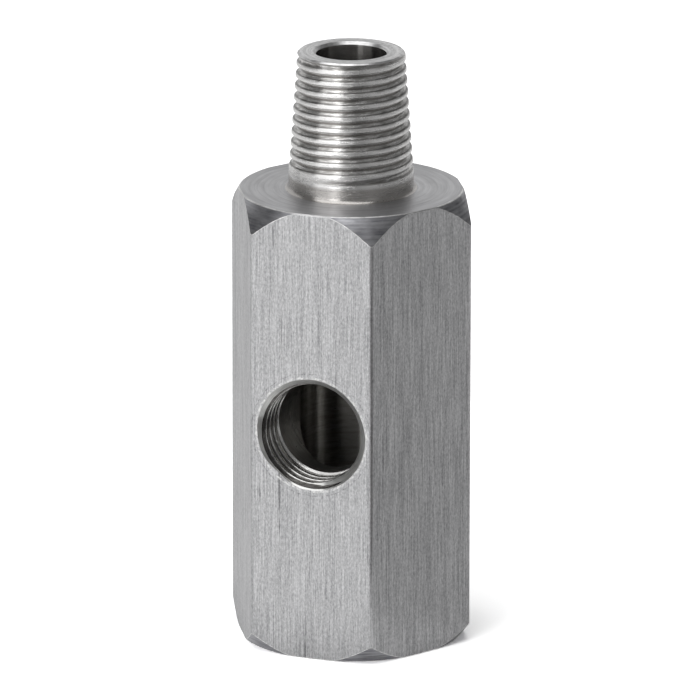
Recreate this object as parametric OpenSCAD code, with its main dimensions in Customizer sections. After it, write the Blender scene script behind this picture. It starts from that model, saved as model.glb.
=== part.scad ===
// Tee adapter fitting, turned and drilled from one length of hexagon bar.
// Millimetres. The origin is the centre of the bottom face, +Z runs up the
// axis to the male end, and the side port opens towards -Y.

/* [Hexagon body] */
// Width of the bar across its flats
hex_af = 19; // [17:0.5:24]
// Height of the hexagon body, from the bottom face to the shoulder
body_h = 39.4; // [36:0.2:60]
// Radius along the six corners of the drawn bar
corner_r = 0.48; // [0.2:0.04:0.8]
// How far the turned ring on the shoulder stands wider than the flats, on diameter
top_ring_over = 0.14; // [0.04:0.02:0.4]
// Angle of the upper chamfer from the axis
top_chamfer_angle = 30; // [20:1:45]
// How far the turned ring on the bottom face stands wider than the flats, on diameter
bottom_ring_over = 0.3; // [0.04:0.02:0.6]
// Angle of the lower chamfer from the axis
bottom_chamfer_angle = 38; // [20:1:45]

/* [Male end] */
// Length of the male end above the shoulder
male_len = 12; // [10.2:0.2:16]
// Diameter of the plain shank below the thread
shank_d = 10.68; // [10.2:0.02:11.4]
// Radius of the fillet between the shank and the shoulder
shank_fillet = 0.7; // [0.3:0.1:1]
// Radius that the threaded cone loses in each millimetre of height
thread_taper = 0.0705; // [0.03:0.0005:0.08]
// Distance from one thread crest to the next
thread_pitch = 1; // [0.8:0.01:1.2]
// Depth of the thread groove
thread_depth = 0.52; // [0.3:0.02:0.56]
// Width of the flat at the bottom of the groove
thread_root = 0.1; // [0.06:0.02:0.14]
// Angle between the two flanks of the groove
thread_angle = 60; // [50:1:62]
// Height above the shoulder at which the groove runs out
runout_h = 1.6; // [1.5:0.05:1.9]
// Side on which the groove runs out, as an angle from +X
runout_side = 236; // [0:1:359]
// Part of a turn over which the groove comes up to the surface
runout_turn = 0.7; // [0.3:0.05:1]
// How far the threaded cone is turned below the plain shank, on radius
thread_relief = 0.03; // [0.02:0.01:0.06]
// Radius lost to the lead chamfer at the end face
lead_chamfer = 0.18; // [0.1:0.02:0.3]

/* [Through passage] */
// Diameter of the passage through the male end
passage_d = 6; // [4:0.1:6.6]
// Width of the broken edge where the passage meets the end face
passage_edge = 0.25; // [0.05:0.05:0.3]

/* [Bottom port] */
// Diameter of the tapping hole in the bottom
bottom_drill_d = 8.7; // [8.4:0.05:9]
// Depth of the full diameter of the bottom hole
bottom_drill_depth = 26; // [25:0.5:30]
// Point angle of the drill that made the bottom hole
drill_point_angle = 118; // [90:1:140]
// Diameter of the countersink in the bottom face
bottom_mouth_d = 10.4; // [9.6:0.1:12]

/* [Side port] */
// Height of the side port's axis above the bottom face
side_port_h = 20; // [19:0.5:21]
// Diameter of the tapping hole in the side
side_drill_d = 8.5; // [8:0.05:8.6]
// Diameter of the countersink in the flat
side_mouth_d = 10.28; // [9.4:0.02:12]
// Angle between the walls of both countersinks
countersink_angle = 90; // [82:1:100]

/* [Hidden] */
// Steps of the round surfaces, of the thread in one turn and of a small arc
$fn = 96;
thread_steps = 60;
arc_steps = 6;
// Overlap of pieces that are joined, and reach of cutters past a face
lap = 1;

// The hexagon, with its corner arcs and the radius that they reach
flat_r = hex_af / 2;
corner_centre_r = (flat_r - corner_r) / cos(30);
corner_reach = corner_centre_r + corner_r;
top_ring_r = flat_r + top_ring_over / 2;
bottom_ring_r = flat_r + bottom_ring_over / 2;
clear_r = corner_reach + lap;

// The male end
total_h = body_h + male_len;
shank_r = shank_d / 2;
shank_top_z = body_h + runout_h - thread_pitch / 2;
thread_foot_z = shank_top_z - thread_pitch / 4;
groove_z = body_h + runout_h;
flank_h = thread_depth * tan(thread_angle / 2);
// Share of the flank's height that is left where the groove runs out
flank_least = 0.15;
groove_turns = ceil((total_h - groove_z) / thread_pitch) + 1;
groove_steps = groove_turns * thread_steps;
thread_top_z = groove_z + (groove_turns + 1) * thread_pitch;
end_r = cone_r(total_h) - lead_chamfer;

// The bores
passage_r = passage_d / 2;
bottom_drill_r = bottom_drill_d / 2;
drill_point_h = bottom_drill_r / tan(drill_point_angle / 2);
side_drill_r = side_drill_d / 2;

// Radius of the threaded cone at height z
function cone_r(z) = shank_r - thread_relief - thread_taper * max(0, z - groove_z);

// Part of its full depth that the groove has at step i
function groove_share(i) = min(1, i / thread_steps / runout_turn);

// Point of the thread at step i, dz above the groove's centre and deep below the cone
function thread_point(i, dz, deep) =
    let (z = groove_z + thread_pitch * i / thread_steps + dz)
    let (a = runout_side + 360 * i / thread_steps)
    let (r = cone_r(z) - deep)
    [r * cos(a), r * sin(a), z];

// The four points across the groove at step i, from its lower edge to its upper edge
function groove_section(i) =
    let (share = groove_share(i))
    let (flank = flank_h * (flank_least + (1 - flank_least) * share))
    let (edge = thread_root / 2 + flank)
    [
        thread_point(i, -edge, 0),
        thread_point(i, -thread_root / 2, thread_depth * share),
        thread_point(i, thread_root / 2, thread_depth * share),
        thread_point(i, edge, 0)
    ];

// Ring of points at height z, one for each step of a turn
function thread_ring(z) = [
    for (i = [0:thread_steps - 1])
        let (a = runout_side + 360 * i / thread_steps)
        [cone_r(z) * cos(a), cone_r(z) * sin(a), z]
];

// Two triangles that fill the quad a, b, c, d
function quad(a, b, c, d) = [[a, b, c], [a, c, d]];

// Hexagon with rounded corners, flats facing +Y and -Y
function hexagon_outline() = [
    for (corner = [0:5])
        for (step = [0:arc_steps])
            let (a = 60 * corner)
            let (b = a - 30 + 60 * step / arc_steps)
            [corner_centre_r * cos(a) + corner_r * cos(b), corner_centre_r * sin(a) + corner_r * sin(b)]
];

// Drawn hexagon bar, cut to length and turned to a chamfer at both ends
module hexagon_body() {
    top_h = (clear_r - top_ring_r) / tan(top_chamfer_angle);
    bottom_h = (clear_r - bottom_ring_r) / tan(bottom_chamfer_angle);
    intersection() {
        linear_extrude(body_h)
            polygon(hexagon_outline());
        rotate_extrude()
            polygon([
                [0, 0],
                [bottom_ring_r, 0],
                [clear_r, bottom_h],
                [clear_r, body_h - top_h],
                [top_ring_r, body_h],
                [0, body_h]
            ]);
    }
}

// Plain shank with the fillet that runs out on the shoulder
module shank() {
    fillet = [
        for (step = [0:arc_steps])
            let (a = 90 * step / arc_steps)
            [shank_r + shank_fillet * (1 - sin(a)), body_h + shank_fillet * (1 - cos(a))]
    ];
    rotate_extrude()
        polygon(concat(
            [[0, body_h - lap], [shank_r + shank_fillet, body_h - lap]],
            fillet,
            [[shank_r, shank_top_z], [0, shank_top_z]]
        ));
}

// Threaded cone as one helical surface, closed by a flat foot and a flat top.
// Its rows follow the groove, so each crest is one clean band that climbs
// one pitch in a turn. The groove starts at no depth and runs off the top.
module threaded_cone() {
    n = thread_steps;
    last = groove_steps;
    // Index of point k of the section at step i, and of ring points
    function at(i, k) = n + 4 * i + k;
    top = n + 4 * (last + 1);
    foot_ring = thread_ring(thread_foot_z);
    top_ring = thread_ring(thread_top_z);
    sections = [for (i = [0:last]) each groove_section(i)];
    groove = [
        for (i = [0:last - 1])
            for (k = [0:2])
                each quad(at(i, k), at(i, k + 1), at(i + 1, k + 1), at(i + 1, k))
    ];
    crests = [
        for (i = [0:last - n - 1])
            each quad(at(i, 3), at(i + n, 0), at(i + n + 1, 0), at(i + 1, 3))
    ];
    foot = [
        for (i = [0:n - 2])
            each quad(i, at(i, 0), at(i + 1, 0), i + 1)
    ];
    foot_seam = [
        [n - 1, at(n - 1, 0), at(n, 0)],
        [n - 1, at(n, 0), at(0, 3)],
        [n - 1, at(0, 3), at(0, 2)],
        [n - 1, at(0, 2), at(0, 1)],
        [n - 1, at(0, 1), at(0, 0)],
        [n - 1, at(0, 0), 0]
    ];
    head = [
        for (i = [1:n - 1])
            each quad(at(last - n + i, 3), top + i, top + (i + 1) % n, at(last - n + i + 1, 3))
    ];
    head_seam = [
        [at(last - n + 1, 3), at(last - n, 3), at(last, 0)],
        [at(last - n + 1, 3), at(last, 0), at(last, 3)],
        [at(last - n + 1, 3), at(last, 3), top],
        [at(last - n + 1, 3), top, top + 1]
    ];
    groove_end = quad(at(last, 0), at(last, 1), at(last, 2), at(last, 3));
    foot_face = [[for (i = [0:n - 1]) i]];
    top_face = [[for (i = [n - 1:-1:0]) top + i]];
    polyhedron(
        points = concat(foot_ring, sections, top_ring),
        faces = concat(groove, crests, foot, foot_seam, head, head_seam, groove_end, foot_face, top_face)
    );
}

// Male end: the threaded cone trimmed to the end face and its lead chamfer
module male_end() {
    lead_r = end_r + lap;
    intersection() {
        threaded_cone();
        rotate_extrude()
            polygon([
                [0, thread_foot_z - lap],
                [clear_r, thread_foot_z - lap],
                [clear_r, total_h - lap],
                [lead_r, total_h - lap],
                [end_r, total_h],
                [0, total_h]
            ]);
    }
}

// Countersink of mouth diameter mouth_d that opens a hole of radius hole_r at z = 0
module countersink(mouth_d, hole_r) {
    slope = tan(countersink_angle / 2);
    mouth_r = mouth_d / 2;
    depth = (mouth_r - hole_r) / slope;
    rotate_extrude()
        polygon([
            [0, -lap],
            [mouth_r + lap * slope, -lap],
            [hole_r, depth],
            [0, depth]
        ]);
}

// Tapping hole in the bottom with its drill point, and the passage to the end face
module axial_bore() {
    translate([0, 0, -lap])
        cylinder(h = bottom_drill_depth + lap, r = bottom_drill_r);
    translate([0, 0, bottom_drill_depth])
        cylinder(h = drill_point_h, r1 = bottom_drill_r, r2 = 0);
    translate([0, 0, bottom_drill_depth])
        cylinder(h = total_h - bottom_drill_depth + lap, r = passage_r);
    countersink(bottom_mouth_d, bottom_drill_r);
    translate([0, 0, total_h])
        mirror([0, 0, 1])
            countersink(passage_d + 2 * passage_edge, passage_r);
}

// Tapping hole in the side, from the flat to the axis
module side_bore() {
    translate([0, -flat_r, side_port_h])
        rotate([-90, 0, 0]) {
            translate([0, 0, -lap])
                cylinder(h = flat_r + lap, r = side_drill_r);
            countersink(side_mouth_d, side_drill_r);
        }
}

module tee_body() {
    color("#A9A9AC")
        difference() {
            union() {
                hexagon_body();
                shank();
                male_end();
            }
            axial_bore();
            side_bore();
        }
}

tee_body();
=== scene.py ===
"""Looks of a tee adapter fitting that is turned, drilled and tapped from drawn hexagon bar.

The fitting is one piece of steel. Its outside is worked out as a profile carried round the
axis, its male thread and the tapped threads of both ports are helical surfaces, and the
holes are cut from the whole as a drill and a tap would cut them. Lengths inside the
classes are millimetres, and the finished mesh is given in metres, in the frame's place.
"""

import logging
import math
from dataclasses import dataclass
from enum import Enum
from typing import Callable

import bpy  # noqa: E402
import numpy as np  # noqa: E402
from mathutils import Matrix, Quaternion, Vector  # noqa: E402


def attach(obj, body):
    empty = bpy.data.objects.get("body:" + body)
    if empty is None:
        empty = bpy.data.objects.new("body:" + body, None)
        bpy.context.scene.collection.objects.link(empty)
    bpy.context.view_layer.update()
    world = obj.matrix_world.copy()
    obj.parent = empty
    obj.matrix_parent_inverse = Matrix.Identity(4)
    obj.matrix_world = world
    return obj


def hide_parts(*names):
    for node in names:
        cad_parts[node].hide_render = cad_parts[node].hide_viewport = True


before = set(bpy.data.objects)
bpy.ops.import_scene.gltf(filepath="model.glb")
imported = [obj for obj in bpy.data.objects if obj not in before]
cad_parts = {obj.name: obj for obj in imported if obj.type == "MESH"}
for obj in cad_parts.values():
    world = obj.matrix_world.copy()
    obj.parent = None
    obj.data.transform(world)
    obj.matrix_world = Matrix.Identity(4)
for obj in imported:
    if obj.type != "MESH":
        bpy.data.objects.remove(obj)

LOG = logging.getLogger("tee_adapter")
MM = 0.001
PHOTO_SIDE_PX = 700
SENSOR_MM = 36.0
THREAD_HALF_ANGLE = math.radians(30)
SIDE_PORT_Z = 20.0
# Radius at which marks that run round an axis have their stated length
MARK_RADIUS = 5.0
# Detail and roughness of the noise that draws tool marks and tears
MARK_NOISE = (3.0, 0.6)
WHITE = (1.0, 1.0, 1.0, 1.0)
Socket = bpy.types.NodeSocket


class Surface(Enum):
    """The surfaces of the fitting, named for how each was made."""

    DRAWN = "steel_cold_drawn_flat"
    EDGE = "steel_burred_edge"
    CHAMFER = "steel_turned_chamfer"
    SHOULDER = "steel_faced_shoulder"
    THREAD = "steel_die_cut_thread"
    END = "steel_faced_end"
    PASSAGE = "steel_drilled_passage"
    BORE = "steel_drilled_bore"
    TAPPED = "steel_tapped_bore"
    SIDE_BORE = "steel_drilled_side_bore"
    SIDE_TAPPED = "steel_tapped_side_bore"
    SIDE_SINK = "steel_countersunk_mouth"

    @property
    def slot(self) -> int:
        """Number of the surface's material slot."""
        return list(Surface).index(self)


class Axis(Enum):
    """The two axes that the fitting was worked about."""

    BAR = "bar"
    SIDE = "side"


class Node(Enum):
    """The nodes in use: Blender's name, settings, the sockets filled in turn, the output read."""

    PLACE = ("ShaderNodeTexCoord", {}, (), "Object")
    NORMAL = ("ShaderNodeNewGeometry", {}, (), "Normal")
    CAMERA_RAY = ("ShaderNodeLightPath", {}, (), "Is Camera Ray")
    GLOSSY_RAY = ("ShaderNodeLightPath", {}, (), "Is Glossy Ray")
    ADD = ("ShaderNodeMath", {"operation": "ADD"}, (0, 1), 0)
    SUBTRACT = ("ShaderNodeMath", {"operation": "SUBTRACT"}, (0, 1), 0)
    MULTIPLY = ("ShaderNodeMath", {"operation": "MULTIPLY"}, (0, 1), 0)
    MAXIMUM = ("ShaderNodeMath", {"operation": "MAXIMUM"}, (0, 1), 0)
    ABSOLUTE = ("ShaderNodeMath", {"operation": "ABSOLUTE"}, (0,), 0)
    GREATER = ("ShaderNodeMath", {"operation": "GREATER_THAN"}, (0, 1), 0)
    SHIFT = ("ShaderNodeVectorMath", {"operation": "ADD"}, (0, 1), 0)
    FROM = ("ShaderNodeVectorMath", {"operation": "SUBTRACT"}, (0, 1), 0)
    STRETCH = ("ShaderNodeVectorMath", {"operation": "MULTIPLY"}, (0, 1), 0)
    CROSS = ("ShaderNodeVectorMath", {"operation": "CROSS_PRODUCT"}, (0, 1), 0)
    UNIT = ("ShaderNodeVectorMath", {"operation": "NORMALIZE"}, (0,), 0)
    LENGTH = ("ShaderNodeVectorMath", {"operation": "LENGTH"}, (0,), "Value")
    DOT = ("ShaderNodeVectorMath", {"operation": "DOT_PRODUCT"}, (0, 1), "Value")
    TURN = ("ShaderNodeMapping", {}, ("Vector", "Location", "Rotation", "Scale"), 0)
    HEIGHT = ("ShaderNodeSeparateXYZ", {}, ("Vector",), "Z")
    UPWARD = ("ShaderNodeCombineXYZ", {}, ("Z",), 0)
    NOISE = ("ShaderNodeTexNoise", {}, ("Scale", "Vector", "Detail", "Roughness"), 0)
    RAMP = ("ShaderNodeMapRange", {}, (0, 1, 2, 3, 4), 0)
    BLEND = ("ShaderNodeMix", {"data_type": "RGBA"}, (0, 6, 7), 2)
    BLEND_VECTORS = ("ShaderNodeMix", {"data_type": "VECTOR"}, (0, 4, 5), 1)
    RELIEF = ("ShaderNodeBump", {}, ("Height", "Strength", "Distance", "Normal"), 0)
    METAL = (
        "ShaderNodeBsdfPrincipled",
        {},
        ("Base Color", "Metallic", "Roughness", "Normal", "Anisotropic", "Tangent"),
        0,
    )
    MATT = ("ShaderNodeBsdfDiffuse", {}, ("Color",), 0)
    GLOW = ("ShaderNodeEmission", {}, ("Color", "Strength"), 0)
    ROOM = ("ShaderNodeBackground", {}, ("Color", "Strength"), 0)
    TOGETHER = ("ShaderNodeAddShader", {}, (0, 1), 0)
    EITHER = ("ShaderNodeMixShader", {}, (0, 1, 2), 0)
    SURFACE = ("ShaderNodeOutputMaterial", {}, ("Surface",), None)
    WORLD = ("ShaderNodeOutputWorld", {}, ("Surface",), None)


def srgb(code: str) -> tuple[float, float, float, float]:
    """Turns a hex colour into the linear colour that a shader takes.

    Args:
        code: Colour as "#RRGGBB" in sRGB.

    Returns:
        Linear red, green, blue and an alpha of 1.
    """
    parts = [int(code[i : i + 2], 16) / 255 for i in (1, 3, 5)]
    linear = [c / 12.92 if c <= 0.04045 else ((c + 0.055) / 1.055) ** 2.4 for c in parts]
    return (linear[0], linear[1], linear[2], 1.0)


def rounded(corners: np.ndarray, radii: list[float], steps: list[int]) -> np.ndarray:
    """Rounds the inner corners of a polyline, for one polyline or for a whole row of them.

    Each corner P lies between A and B, which are the points where an arc of the wanted
    radius touches the two sides. The arc is the rational quadratic
    ((1-s)^2 A + 2 s (1-s) w P + s^2 B) / ((1-s)^2 + 2 s (1-s) w + s^2), where w is the
    sine of half the angle at P, which makes it a true circular arc.

    Args:
        corners: Array of shape (..., corners, 2).
        radii: Arc radius of each inner corner, 0 to keep it sharp.
        steps: Segments of each inner corner's arc.

    Returns:
        Array of shape (..., points, 2).
    """
    longest_share = 0.45
    rows = [corners[..., :1, :]]
    for i, (radius, count) in enumerate(zip(radii, steps), start=1):
        corner = corners[..., i, :]
        if radius <= 0:
            rows.append(corner[..., None, :])
            continue
        back = corners[..., i - 1, :] - corner
        ahead = corners[..., i + 1, :] - corner
        back_len = np.linalg.norm(back, axis=-1, keepdims=True)
        ahead_len = np.linalg.norm(ahead, axis=-1, keepdims=True)
        back, ahead = back / back_len, ahead / ahead_len
        half = np.arccos(np.clip((back * ahead).sum(-1, keepdims=True), -1, 1)) / 2
        reach = np.minimum(radius / np.tan(half), longest_share * np.minimum(back_len, ahead_len))
        weight = np.sin(half)[..., None, :]
        s = np.linspace(0, 1, count + 1)[:, None]
        a = (corner + back * reach)[..., None, :]
        b = (corner + ahead * reach)[..., None, :]
        middle = 2 * s * (1 - s) * weight
        total = (1 - s) ** 2 + middle + s**2
        rows.append(((1 - s) ** 2 * a + middle * corner[..., None, :] + s**2 * b) / total)
    rows.append(corners[..., -1:, :])
    return np.concatenate(rows, axis=-2)


def columned(pairs: list[tuple[object, object]]) -> np.ndarray:
    """Makes profile corners from radii and heights that may differ from column to column.

    Args:
        pairs: Radius and height of each corner, each a number or an array of one per column.

    Returns:
        Corners of shape (columns, corners, 2).
    """
    sides = [np.stack(np.broadcast_arrays(*side), -1) for side in zip(*pairs)]
    return np.stack(sides, -1)


def around(columns: int, start: float = 0.0) -> np.ndarray:
    """Gives the angles of evenly spaced columns, start + 2 pi column / columns, in radians."""
    return start + np.arange(columns) * 2 * math.pi / columns


def mesh_object(name: str, points: np.ndarray, faces: list[list[int]]) -> bpy.types.Object:
    """Makes a mesh object from points and faces, and links it to the scene.

    Args:
        name: Name of the object and its mesh.
        points: Array of shape (points, 3).
        faces: Point numbers of each face, counter-clockwise seen from outside.

    Returns:
        The new object.
    """
    mesh = bpy.data.meshes.new(name)
    mesh.from_pydata(points, [], faces)
    mesh.update()
    made = bpy.data.objects.new(name, mesh)
    bpy.context.scene.collection.objects.link(made)
    return made


def paint(solid: bpy.types.Object, pick: Callable[[np.ndarray, np.ndarray], np.ndarray]) -> None:
    """Gives a solid the slots of all surfaces and tells each face which it is.

    Args:
        solid: The solid.
        pick: Gives slot numbers from the faces' centres and normals.
    """
    mesh = solid.data
    for surface in Surface:
        mesh.materials.append(bpy.data.materials[surface.value])
    count = len(mesh.polygons)
    centre, normal = np.empty(count * 3), np.empty(count * 3)
    mesh.polygons.foreach_get("center", centre)
    mesh.polygons.foreach_get("normal", normal)
    slots = pick(centre.reshape(-1, 3), normal.reshape(-1, 3))
    mesh.polygons.foreach_set("material_index", slots.astype(np.int32))


def paint_all(solid: bpy.types.Object, surface: Surface) -> None:
    """Gives every face of a solid the same surface."""
    paint(solid, lambda centre, normal: np.full(len(centre), surface.slot))


def wheel(angles: np.ndarray, profile: np.ndarray) -> np.ndarray:
    """Places profile points round the Z axis.

    Point (column, row) lies at (r cos a, r sin a, z), where a is the column's angle and
    (r, z) is the profile's point in that column.

    Args:
        angles: Angle of each column, in radians.
        profile: Radius and height, of shape (columns, rows, 2).

    Returns:
        Points of shape (columns * rows, 3).
    """
    r, z = profile[..., 0], profile[..., 1]
    a = angles[:, None]
    return np.stack([r * np.cos(a), r * np.sin(a), z], -1).reshape(-1, 3)


def revolved(name: str, angles: np.ndarray, profile: np.ndarray) -> bpy.types.Object:
    """Carries a profile round the Z axis and closes it with a flat face at each end.

    Args:
        name: Name of the object.
        angles: Angle of each column, in radians, rising.
        profile: Radius and height of each row, of shape (rows, 2) or (columns, rows, 2).

    Returns:
        The closed solid.
    """
    columns, rows = len(angles), profile.shape[-2]
    profile = np.broadcast_to(profile, (columns, rows, 2))
    number = np.arange(columns * rows).reshape(columns, rows)
    after = np.roll(number, -1, axis=0)
    quads = np.stack([number[:, :-1], after[:, :-1], after[:, 1:], number[:, 1:]], -1)
    faces = quads.reshape(-1, 4).tolist()
    faces += [number[::-1, 0].tolist(), number[:, -1].tolist()]
    return mesh_object(name, wheel(angles, profile), faces)


def groove(offset: np.ndarray, depth: np.ndarray | float, flat: float, soft: float) -> np.ndarray:
    """Depth of a V groove of 60 degrees with a flat bottom and soft edges.

    The depth falls from the bottom's edge by 1 over the tangent of half the angle, and
    half of (d + sqrt(d^2 + soft^2)) lets it run out softly at the surface.

    Args:
        offset: Distance from the groove's middle.
        depth: Depth in the middle.
        flat: Width of the flat bottom.
        soft: How far the edge is softened.

    Returns:
        Depth at each offset.
    """
    straight = depth - np.maximum(np.abs(offset) - flat / 2, 0) / math.tan(THREAD_HALF_ANGLE)
    return np.minimum(0.5 * (straight + np.sqrt(straight**2 + soft**2)), depth)


@dataclass(frozen=True)
class Helix:
    """A thread's path and how finely it is drawn.

    Attributes:
        pitch: Climb in one turn.
        start: Height of the first groove's centre.
        phase: Angle at which it starts, in radians.
        turns: Whole turns that are drawn.
        steps: Columns in one turn.
    """

    pitch: float
    start: float
    phase: float
    turns: int
    steps: int


def threaded(
    name: str,
    helix: Helix,
    across: np.ndarray,
    radius: Callable[[np.ndarray, np.ndarray, np.ndarray], np.ndarray],
    foot: np.ndarray,
    head: np.ndarray,
) -> bpy.types.Object:
    """Makes a closed solid whose rows climb with a thread.

    Column j holds the points z = start + pitch (j / steps + turn) + across, so a row that
    leaves the last column goes on one turn higher in the first. Below and above lie rings
    of constant height, and one face closes the step that a full turn leaves at each.

    Args:
        name: Name of the object.
        helix: The path.
        across: Rising offsets along the axis from the groove's centre, over one pitch.
        radius: Gives the radius from the height, the offset and the number of turns.
        foot: Radius and height of the rings below, from the lowest up.
        head: Radius and height of the rings above, from the lowest up.

    Returns:
        The closed solid.
    """
    n, k = helix.steps, len(across)
    turn = np.arange(n)[:, None, None] / n + np.arange(helix.turns)[None, :, None]
    offset = np.broadcast_to(across, (n, helix.turns, k))
    z = helix.start + helix.pitch * turn + offset
    rows = np.stack([radius(z, offset, turn), z], -1).reshape(n, helix.turns * k, 2)
    low_rings = np.broadcast_to(foot, (n, *foot.shape))
    high_rings = np.broadcast_to(head, (n, *head.shape))
    profile = np.concatenate([low_rings, rows, high_rings], 1)
    count, low, high = profile.shape[1], len(foot), len(foot) + helix.turns * k - 1
    number = np.arange(n * count).reshape(n, count)
    left, right = number[:-1], number[1:]
    inner = np.stack([left[:, :-1], right[:, :-1], right[:, 1:], left[:, 1:]], -1)
    end, first = number[-1], number[0]
    climbing_end, climbing_first = end[low : high - k + 1], first[low + k : high + 1]
    seams = [
        np.stack([a[:-1], b[:-1], b[1:], a[1:]], -1)
        for a, b in (
            (end[:low], first[:low]),
            (climbing_end, climbing_first),
            (end[high + 1 :], first[high + 1 :]),
        )
    ]
    faces = np.concatenate([inner.reshape(-1, 4), *seams]).tolist()
    faces.append([end[low - 1], *first[low - 1 : low + k + 1].tolist(), end[low]])
    faces.append([first[high], first[high + 1], *end[high - k : high + 2][::-1].tolist()])
    faces += [number[::-1, 0].tolist(), number[:, -1].tolist()]
    return mesh_object(name, wheel(around(n, helix.phase), profile), faces)


def combine(target: bpy.types.Object, tool: bpy.types.Object, operation: str) -> None:
    """Joins a solid to another or cuts it away, and deletes the tool.

    Args:
        target: Solid that keeps the result.
        tool: Solid that is joined or cut away.
        operation: UNION or DIFFERENCE.
    """
    step = target.modifiers.new("combine", "BOOLEAN")
    step.operation, step.object, step.solver = operation, tool, "MANIFOLD"
    graph = bpy.context.evaluated_depsgraph_get()
    result = bpy.data.meshes.new_from_object(target.evaluated_get(graph))
    target.modifiers.clear()
    old, target.data = target.data, result
    bpy.data.meshes.remove(old)
    bpy.data.meshes.remove(tool.data)


@dataclass(frozen=True)
class HexBar:
    """The hexagon body: drawn bar with a turned shoulder, bottom face and chamfers.

    Attributes:
        across_flats: Width across the flats.
        corner_radius: Radius along the six corners.
        height: Height of the body.
        top_ring: Radius of the shoulder's outer edge.
        top_angle: Angle of the upper chamfer from the axis, in degrees.
        bottom_ring: Radius of the bottom face's outer edge.
        bottom_angle: Angle of the lower chamfer from the axis, in degrees.
        core: Radius at which both end faces stop, inside the bores.
        edge: Radius of the broken edges.
        margin: Distance from an edge to the row that keeps its rounding local.
        least_chamfer: How far the chamfer reaches in where the flat is nearest the axis.
        tilt_error: How far a face may lean, in degrees, and still count as its surface.
        corner_columns: Columns over each corner.
        flat_columns: Columns over each flat.
    """

    across_flats: float = 19.0
    corner_radius: float = 0.48
    height: float = 39.4
    top_ring: float = 9.57
    top_angle: float = 30.0
    bottom_ring: float = 9.65
    bottom_angle: float = 38.0
    core: float = 2.0
    edge: float = 0.15
    margin: float = 0.35
    least_chamfer: float = 0.05
    tilt_error: float = 2.0
    corner_columns: int = 10
    flat_columns: int = 30

    @property
    def corner_centre(self) -> float:
        """Distance from the axis to the centre of a corner's arc."""
        return (self.across_flats / 2 - self.corner_radius) / math.cos(math.pi / 6)

    @property
    def corner_span(self) -> float:
        """Half the angle that a corner's arc takes up, seen from the axis."""
        q = self.corner_radius
        return math.atan2(q * math.sin(math.pi / 6), self.corner_centre + q * math.cos(math.pi / 6))

    def columns(self) -> np.ndarray:
        """Spaces the columns closely round each corner and evenly over each flat.

        Returns:
            Rising angles in radians, with corners at multiples of 60 degrees.
        """
        span = self.corner_span
        past_corner = span * 1.25
        corner = np.linspace(-span, span, self.corner_columns + 1)
        flat = np.linspace(past_corner, math.pi / 3 - past_corner, self.flat_columns + 1)
        sector = np.concatenate([corner, flat])
        return np.concatenate([sector + i * math.pi / 3 for i in range(6)])

    def reach(self, angles: np.ndarray) -> np.ndarray:
        """Distance from the axis to the drawn surface.

        On a flat it is half the width over the cosine of the angle from the flat's middle.
        Within a corner's arc it is c cos b + sqrt(q^2 - c^2 sin^2 b), where c is the arc
        centre's distance, q its radius and b the angle from the corner.

        Args:
            angles: Angles in radians.

        Returns:
            The distance at each angle.
        """
        c, q, sector = self.corner_centre, self.corner_radius, math.pi / 3
        b = np.abs((angles + sector / 2) % sector - sector / 2)
        on_arc = c * np.cos(b) + np.sqrt(np.maximum(q**2 - (c * np.sin(b)) ** 2, 0))
        on_flat = self.across_flats / 2 / np.cos(math.pi / 6 - b)
        return np.where(b <= self.corner_span + 1e-9, on_arc, on_flat)

    def pick(self, centre: np.ndarray, normal: np.ndarray) -> np.ndarray:
        """Tells the flats, chamfers, end faces and broken edges apart by the tilt of their faces.

        Args:
            centre: Centres of the faces.
            normal: Normals of the faces.

        Returns:
            Slot number of each face.
        """
        tilt = np.degrees(np.arcsin(np.clip(np.abs(normal[:, 2]), 0, 1)))
        turned = np.where(centre[:, 2] > self.height / 2, self.top_angle, self.bottom_angle)
        slots = np.full(len(centre), Surface.EDGE.slot)
        slots[tilt < self.tilt_error] = Surface.DRAWN.slot
        slots[np.abs(tilt - turned) < self.tilt_error] = Surface.CHAMFER.slot
        slots[tilt > 90 - self.tilt_error] = Surface.SHOULDER.slot
        return slots

    def build(self) -> bpy.types.Object:
        """Carries the body's profile round the axis, each chamfer meeting the hexagon's own reach.

        Returns:
            The closed hexagon body.
        """
        angles = self.columns()
        out = self.reach(angles)
        low_ring = np.minimum(self.bottom_ring, out - self.least_chamfer)
        high_ring = np.minimum(self.top_ring, out - self.least_chamfer)
        low = (out - low_ring) / math.tan(math.radians(self.bottom_angle))
        high = self.height - (out - high_ring) / math.tan(math.radians(self.top_angle))
        half = [(self.core, 0.0), (low_ring - self.margin, 0.0), (low_ring, 0.0), (out, low)]
        other = [(out, high), (high_ring, self.height), (high_ring - self.margin, self.height)]
        middle = [(out, low + self.margin), (out, high - self.margin)]
        corners = columned([*half, *middle, *other, (self.core, self.height)])
        edge = self.edge
        radii, steps = [0, edge, edge, 0, 0, edge, edge, 0], [1, 3, 4, 1, 1, 4, 3, 1]
        body = revolved("tee_body_steel", angles, rounded(corners, radii, steps))
        paint(body, self.pick)
        return body


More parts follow.
